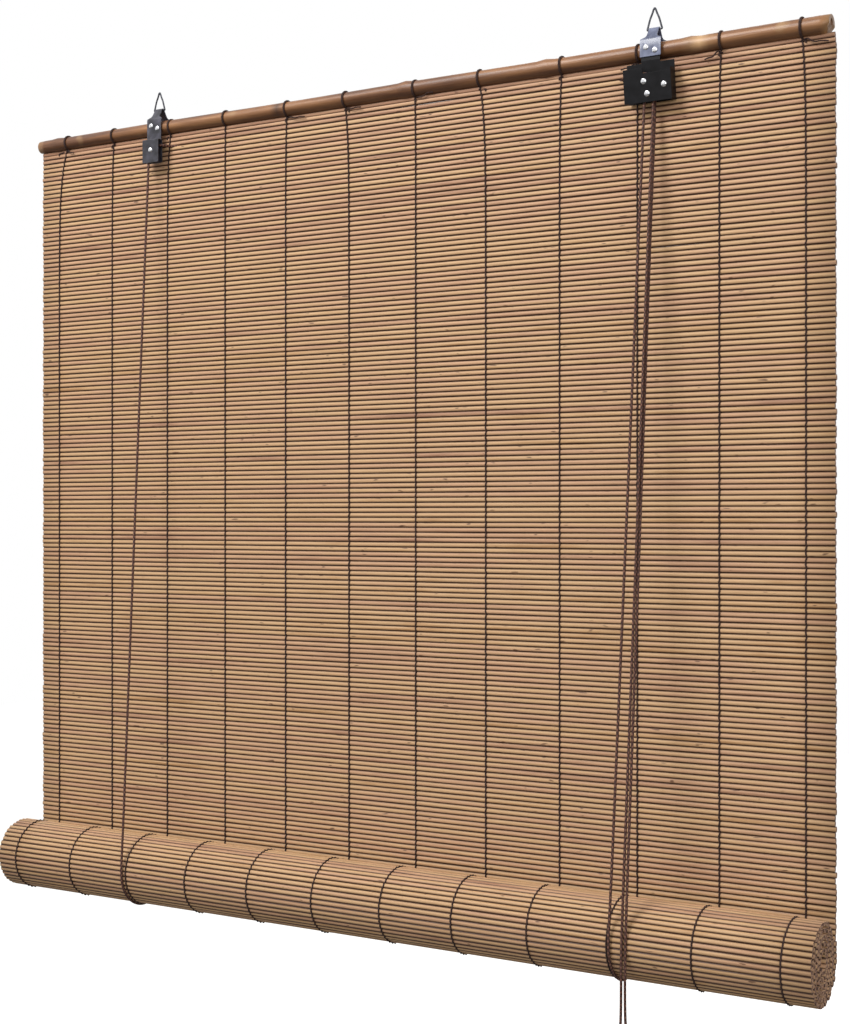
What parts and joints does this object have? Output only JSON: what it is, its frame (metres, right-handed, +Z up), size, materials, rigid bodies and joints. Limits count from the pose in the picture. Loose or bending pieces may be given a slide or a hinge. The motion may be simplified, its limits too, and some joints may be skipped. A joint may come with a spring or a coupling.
{
  "type": "bamboo roll up blind",
  "caption": "Bamboo roll up blind, part lowered: reed mat wound forward into a roll, hung from a bamboo pole by ring hangers, with lift cords, pulley and cord lock.",
  "frame": {"origin": "on the line of the hooks, at the top of the ring eyes and halfway along the blind", "axes": "+X along the width to the right seen from the room, +Z up, -Y into the room"},
  "size_m": [1.0032, 0.0994, 1.0955],
  "materials": {
    "bamboo": "brown stained culm, satin",
    "reeds": "carbonised split bamboo, matt",
    "thread": "dark brown twisted twine",
    "cord": "brown braided cord",
    "black_steel": "black painted sheet steel",
    "bright_steel": "bright rivet heads",
    "wire": "dull steel",
    "wheel": "turned brass"
  },
  "bodies": {
    "head": {"head_pole": "bamboo", "reed_mat": "reeds", "pole_lashings": "thread", "left_hanger_strap": "black_steel", "right_hanger_strap": "black_steel", "rivets": "bright_steel", "pulley_housing": "black_steel", "lock_housing": "black_steel", "warp_thread_01": "thread", "warp_thread_02": "thread", "warp_thread_03": "thread", "warp_thread_04": "thread", "warp_thread_05": "thread", "warp_thread_06": "thread", "warp_thread_07": "thread", "warp_thread_08": "thread", "warp_thread_09": "thread", "warp_thread_10": "thread", "warp_thread_11": "thread", "warp_thread_12": "thread", "lift_cord_left_front": "cord", "lift_cord_left_back": "cord", "lift_cord_left_cross": "cord", "lift_cord_right_front": "cord", "lift_cord_right_back": "cord", "lift_cord_right_top": "cord", "pull_cord_1": "cord", "pull_cord_2": "cord"},
    "lift_slings": {"lift_cord_left_sling": "cord", "lift_cord_right_sling": "cord", "pull_tail_1": "cord", "pull_tail_2": "cord", "pull_cord_hank": "cord", "hank_tie": "cord", "pull_cord_knot": "cord"},
    "roll": {"mat_roll": "reeds", "roll_thread_01": "thread", "roll_thread_02": "thread", "roll_thread_03": "thread", "roll_thread_04": "thread", "roll_thread_05": "thread", "roll_thread_06": "thread", "roll_thread_07": "thread", "roll_thread_08": "thread", "roll_thread_09": "thread", "roll_thread_10": "thread", "roll_thread_11": "thread", "roll_thread_12": "thread"},
    "left_ring": {"left_ring": "wire"},
    "right_ring": {"right_ring": "wire"},
    "pulley_wheel": {"pulley_wheel": "wheel"},
    "lock_pulley": {"lock_pulley": "wheel"},
    "guide_roller": {"guide_roller": "wire"},
    "lock_cam": {"lock_cam": "wire"}
  },
  "joints": [
    {"name": "roll_lift", "type": "slide", "parent": "head", "child": "lift_slings", "axis": [0, 0, 1], "range_m": [0, 0.701], "deforming": ["reed_mat", "warp_thread_01", "warp_thread_02", "warp_thread_03", "warp_thread_04", "warp_thread_05", "warp_thread_06", "warp_thread_07", "warp_thread_08", "warp_thread_09", "warp_thread_10", "warp_thread_11", "warp_thread_12", "lift_cord_left_front", "lift_cord_right_front", "lift_cord_left_back", "lift_cord_right_back", "pull_cord_1", "pull_cord_2"]},
    {"name": "roll_turn", "type": "hinge", "parent": "lift_slings", "child": "roll", "pos_m": [0, -0.0372, -0.9111], "axis": [1, 0, 0], "range_deg": [-1081, 0]},
    {"name": "left_ring_swing", "type": "hinge", "parent": "head", "child": "left_ring", "pos_m": [-0.314, 0, -0.019], "axis": [1, 0, 0], "range_deg": [-85, 85]},
    {"name": "right_ring_swing", "type": "hinge", "parent": "head", "child": "right_ring", "pos_m": [0.318, 0, -0.019], "axis": [1, 0, 0], "range_deg": [-85, 85]},
    {"name": "pulley_turn", "type": "hinge", "parent": "head", "child": "pulley_wheel", "pos_m": [-0.313, -0.01449, -0.069], "axis": [0, -1, 0], "continuous": true},
    {"name": "lock_pulley_turn", "type": "hinge", "parent": "head", "child": "lock_pulley", "pos_m": [0.314, -0.01292, -0.07315], "axis": [0, -0.9903, -0.1392], "continuous": true},
    {"name": "guide_roller_turn", "type": "hinge", "parent": "head", "child": "guide_roller", "pos_m": [0.317, -0.01124, -0.08513], "axis": [0, -0.9903, -0.1392], "continuous": true},
    {"name": "lock_cam_swing", "type": "hinge", "parent": "head", "child": "lock_cam", "pos_m": [0.335, -0.01221, -0.0782], "axis": [0, -0.9903, -0.1392], "range_deg": [0, 40]}
  ],
  "couplings": [
    {"joint": "roll_turn", "follows": "roll_lift", "rad_per_m": -26.882}
  ]
}
